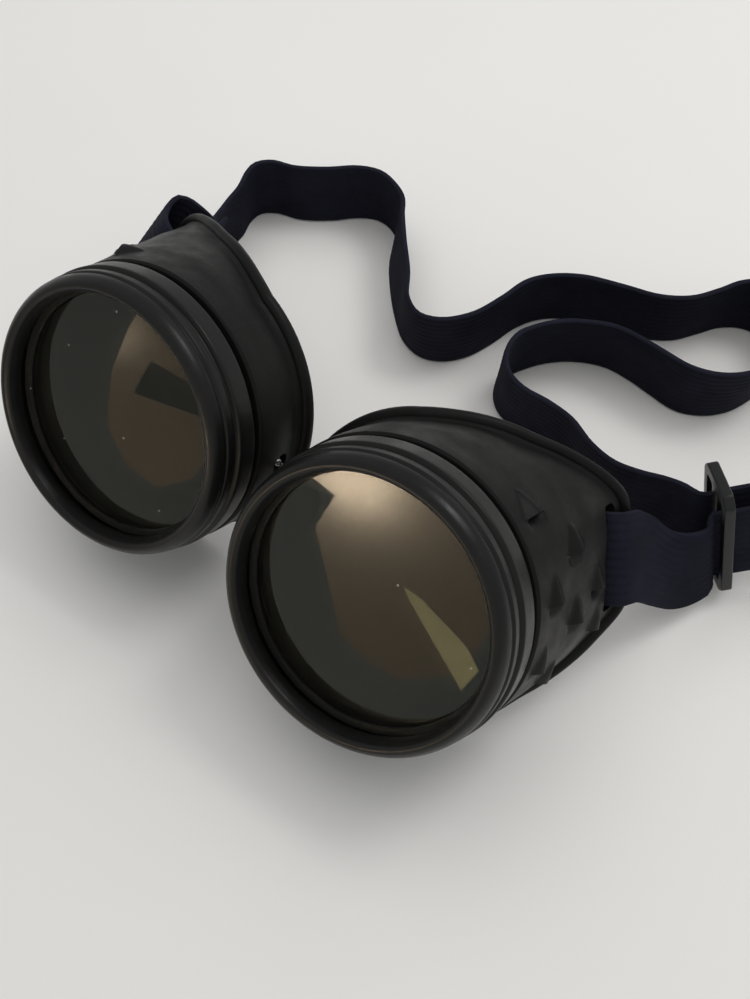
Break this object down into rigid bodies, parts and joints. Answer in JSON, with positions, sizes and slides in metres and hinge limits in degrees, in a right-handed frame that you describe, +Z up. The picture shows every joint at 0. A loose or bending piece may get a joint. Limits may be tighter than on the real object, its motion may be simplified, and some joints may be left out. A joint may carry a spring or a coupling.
{
  "type": "welding goggles",
  "caption": "Vinyl eyecup welding goggles with threaded lens rings, dark filter lenses, side vents, a nose chain and an elastic head strap with a slider.",
  "frame": {"origin": "on the surface the goggles lie on, under the middle of the whole object's box", "axes": "+Z up; +X from the wearer's right cup to the left cup; -Y the way both lenses face, each lens axis leaning up at about 30 to 35 degrees"},
  "size_m": [0.1798, 0.1506, 0.0652],
  "materials": {
    "cup_vinyl": "satin black moulded vinyl",
    "ring_vinyl": "smooth satin black vinyl",
    "cover_glass": "clear polished cover lens",
    "filter_glass": "dark grey-green polished filter glass",
    "soft_rubber": "matt black rubber",
    "elastic": "blue-black ribbed woven elastic",
    "slider_plastic": "semi-gloss black plastic",
    "chain_metal": "nickel-plated ball chain"
  },
  "bodies": {
    "left_cup": {"left_eyecup": "cup_vinyl", "left_lens_gasket": "soft_rubber", "left_chain_stop": "chain_metal", "nose_chain": "chain_metal", "head_strap": "elastic"},
    "left_lens_pack": {"left_cover_lens": "cover_glass", "left_lens_spacer": "soft_rubber", "left_filter_lens": "filter_glass"},
    "left_ring": {"left_retaining_ring": "ring_vinyl"},
    "right_cup": {"right_eyecup": "cup_vinyl", "right_lens_gasket": "soft_rubber", "right_chain_stop": "chain_metal"},
    "right_lens_pack": {"right_cover_lens": "cover_glass", "right_lens_spacer": "soft_rubber", "right_filter_lens": "filter_glass"},
    "right_ring": {"right_retaining_ring": "ring_vinyl"},
    "slider": {"strap_slider": "slider_plastic"}
  },
  "joints": [
    {"name": "left_lens_slide", "type": "slide", "parent": "left_cup", "child": "left_lens_pack", "axis": [0, -0.8212, 0.5707], "range_m": [0, 0.0045]},
    {"name": "left_ring_turn", "type": "hinge", "parent": "left_lens_pack", "child": "left_ring", "pos_m": [0.0148, -0.05899, 0.04193], "axis": [0, -0.8212, 0.5707], "range_deg": [0, 541]},
    {"name": "bridge_fold", "type": "hinge", "parent": "left_cup", "child": "right_cup", "pos_m": [-0.01615, -0.03546, 0.02772], "axis": [0, -0.5361, -0.8442], "range_deg": [-5, 30], "deforming": ["nose_chain", "head_strap"]},
    {"name": "right_lens_slide", "type": "slide", "parent": "right_cup", "child": "right_lens_pack", "axis": [0, -0.866, 0.5], "range_m": [0, 0.0045]},
    {"name": "right_ring_turn", "type": "hinge", "parent": "right_lens_pack", "child": "right_ring", "pos_m": [-0.0471, -0.05493, 0.04155], "axis": [0, -0.866, 0.5], "range_deg": [0, 541]},
    {"name": "slider_slide", "type": "slide", "parent": "left_cup", "child": "slider", "axis": [0.7289, 0.6659, 0.159], "range_m": [-0.001, 0.012], "deforming": ["head_strap"]}
  ],
  "couplings": [
    {"joint": "left_ring_turn", "follows": "left_lens_slide", "rad_per_m": 2094.4},
    {"joint": "right_ring_turn", "follows": "right_lens_slide", "rad_per_m": 2094.4}
  ]
}
